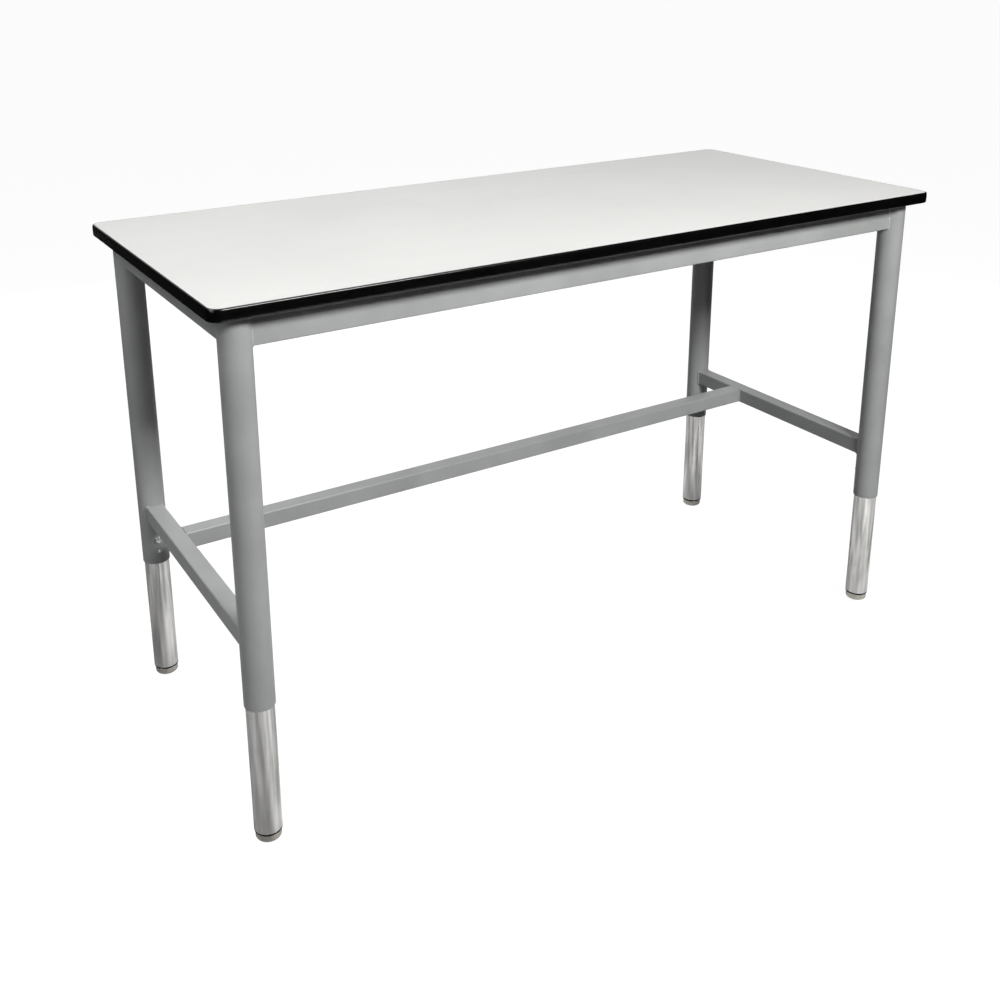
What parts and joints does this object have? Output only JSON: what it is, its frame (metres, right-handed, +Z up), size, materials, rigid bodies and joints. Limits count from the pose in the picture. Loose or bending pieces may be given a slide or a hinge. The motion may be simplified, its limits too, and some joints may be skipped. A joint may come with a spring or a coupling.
{
  "type": "height-adjustable workbench",
  "caption": "Rectangular laminate-topped workbench on a welded tube frame, with telescopic round legs, levelling feet and an H-shaped lower stretcher.",
  "frame": {"origin": "on the floor, under the centre of the worktop, with the legs at the height drawn", "axes": "+X along the bench's length to the right, +Y from the front to the rear, +Z up"},
  "size_m": [1.5, 0.65, 0.924],
  "materials": {
    "core_board": "pressed particle board",
    "laminate": "satin pale grey laminate",
    "backer": "plain balancing laminate",
    "moulding": "black, slightly glossy",
    "frame_paint": "semi-matt grey powder coat",
    "weld_paint": "powder coat over weld ripples",
    "chrome": "bright plated",
    "nylon": "natural nylon",
    "black_plastic": "matt black",
    "nickel": "turned, nickel plated",
    "zinc": "bright zinc plated"
  },
  "bodies": {
    "bench_frame": {"worktop_core": "core_board", "worktop_laminate": "laminate", "underside_laminate": "backer", "edge_moulding": "moulding", "front_left_outer_leg": "frame_paint", "front_right_outer_leg": "frame_paint", "rear_left_outer_leg": "frame_paint", "rear_right_outer_leg": "frame_paint", "front_apron_rail": "frame_paint", "rear_apron_rail": "frame_paint", "left_apron_rail": "frame_paint", "right_apron_rail": "frame_paint", "left_end_stretcher": "frame_paint", "right_end_stretcher": "frame_paint", "centre_stretcher": "frame_paint", "leg_top_plates": "frame_paint", "rail_fixing_tabs": "frame_paint", "worktop_screws": "zinc", "lock_bosses": "frame_paint", "apron_weld_beads": "weld_paint", "stretcher_weld_beads": "weld_paint"},
    "front_left_leg": {"front_left_inner_leg": "chrome", "front_left_guide_plug": "nylon", "front_left_foot_insert": "black_plastic"},
    "front_left_foot": {"front_left_foot_pad": "nickel", "front_left_foot_stem": "zinc"},
    "front_left_lock": {"front_left_lock_screw": "zinc"},
    "front_left_set": {"front_left_set_screw": "zinc"},
    "front_right_leg": {"front_right_inner_leg": "chrome", "front_right_guide_plug": "nylon", "front_right_foot_insert": "black_plastic"},
    "front_right_foot": {"front_right_foot_pad": "nickel", "front_right_foot_stem": "zinc"},
    "front_right_lock": {"front_right_lock_screw": "zinc"},
    "front_right_set": {"front_right_set_screw": "zinc"},
    "rear_left_leg": {"rear_left_inner_leg": "chrome", "rear_left_guide_plug": "nylon", "rear_left_foot_insert": "black_plastic"},
    "rear_left_foot": {"rear_left_foot_pad": "nickel", "rear_left_foot_stem": "zinc"},
    "rear_left_lock": {"rear_left_lock_screw": "zinc"},
    "rear_left_set": {"rear_left_set_screw": "zinc"},
    "rear_right_leg": {"rear_right_inner_leg": "chrome", "rear_right_guide_plug": "nylon", "rear_right_foot_insert": "black_plastic"},
    "rear_right_foot": {"rear_right_foot_pad": "nickel", "rear_right_foot_stem": "zinc"},
    "rear_right_lock": {"rear_right_lock_screw": "zinc"},
    "rear_right_set": {"rear_right_set_screw": "zinc"}
  },
  "joints": [
    {"name": "front_left_leg_slide", "type": "slide", "parent": "bench_frame", "child": "front_left_leg", "axis": [0, 0, 1], "range_m": [0, 0.224]},
    {"name": "front_left_foot_level", "type": "slide", "parent": "front_left_leg", "child": "front_left_foot", "axis": [0, 0, -1], "range_m": [0, 0.015]},
    {"name": "front_left_lock_release", "type": "slide", "parent": "bench_frame", "child": "front_left_lock", "axis": [0, 1, 0], "range_m": [0, 0.0018]},
    {"name": "front_left_set_release", "type": "slide", "parent": "bench_frame", "child": "front_left_set", "axis": [0, 1, 0], "range_m": [0, 0.0012]},
    {"name": "front_right_leg_slide", "type": "slide", "parent": "bench_frame", "child": "front_right_leg", "axis": [0, 0, 1], "range_m": [0, 0.224]},
    {"name": "front_right_foot_level", "type": "slide", "parent": "front_right_leg", "child": "front_right_foot", "axis": [0, 0, -1], "range_m": [0, 0.015]},
    {"name": "front_right_lock_release", "type": "slide", "parent": "bench_frame", "child": "front_right_lock", "axis": [0, 1, 0], "range_m": [0, 0.0018]},
    {"name": "front_right_set_release", "type": "slide", "parent": "bench_frame", "child": "front_right_set", "axis": [0, 1, 0], "range_m": [0, 0.0012]},
    {"name": "rear_left_leg_slide", "type": "slide", "parent": "bench_frame", "child": "rear_left_leg", "axis": [0, 0, 1], "range_m": [0, 0.224]},
    {"name": "rear_left_foot_level", "type": "slide", "parent": "rear_left_leg", "child": "rear_left_foot", "axis": [0, 0, -1], "range_m": [0, 0.015]},
    {"name": "rear_left_lock_release", "type": "slide", "parent": "bench_frame", "child": "rear_left_lock", "axis": [0, -1, 0], "range_m": [0, 0.0018]},
    {"name": "rear_left_set_release", "type": "slide", "parent": "bench_frame", "child": "rear_left_set", "axis": [0, -1, 0], "range_m": [0, 0.0012]},
    {"name": "rear_right_leg_slide", "type": "slide", "parent": "bench_frame", "child": "rear_right_leg", "axis": [0, 0, 1], "range_m": [0, 0.224]},
    {"name": "rear_right_foot_level", "type": "slide", "parent": "rear_right_leg", "child": "rear_right_foot", "axis": [0, 0, -1], "range_m": [0, 0.015]},
    {"name": "rear_right_lock_release", "type": "slide", "parent": "bench_frame", "child": "rear_right_lock", "axis": [0, -1, 0], "range_m": [0, 0.0018]},
    {"name": "rear_right_set_release", "type": "slide", "parent": "bench_frame", "child": "rear_right_set", "axis": [0, -1, 0], "range_m": [0, 0.0012]}
  ]
}
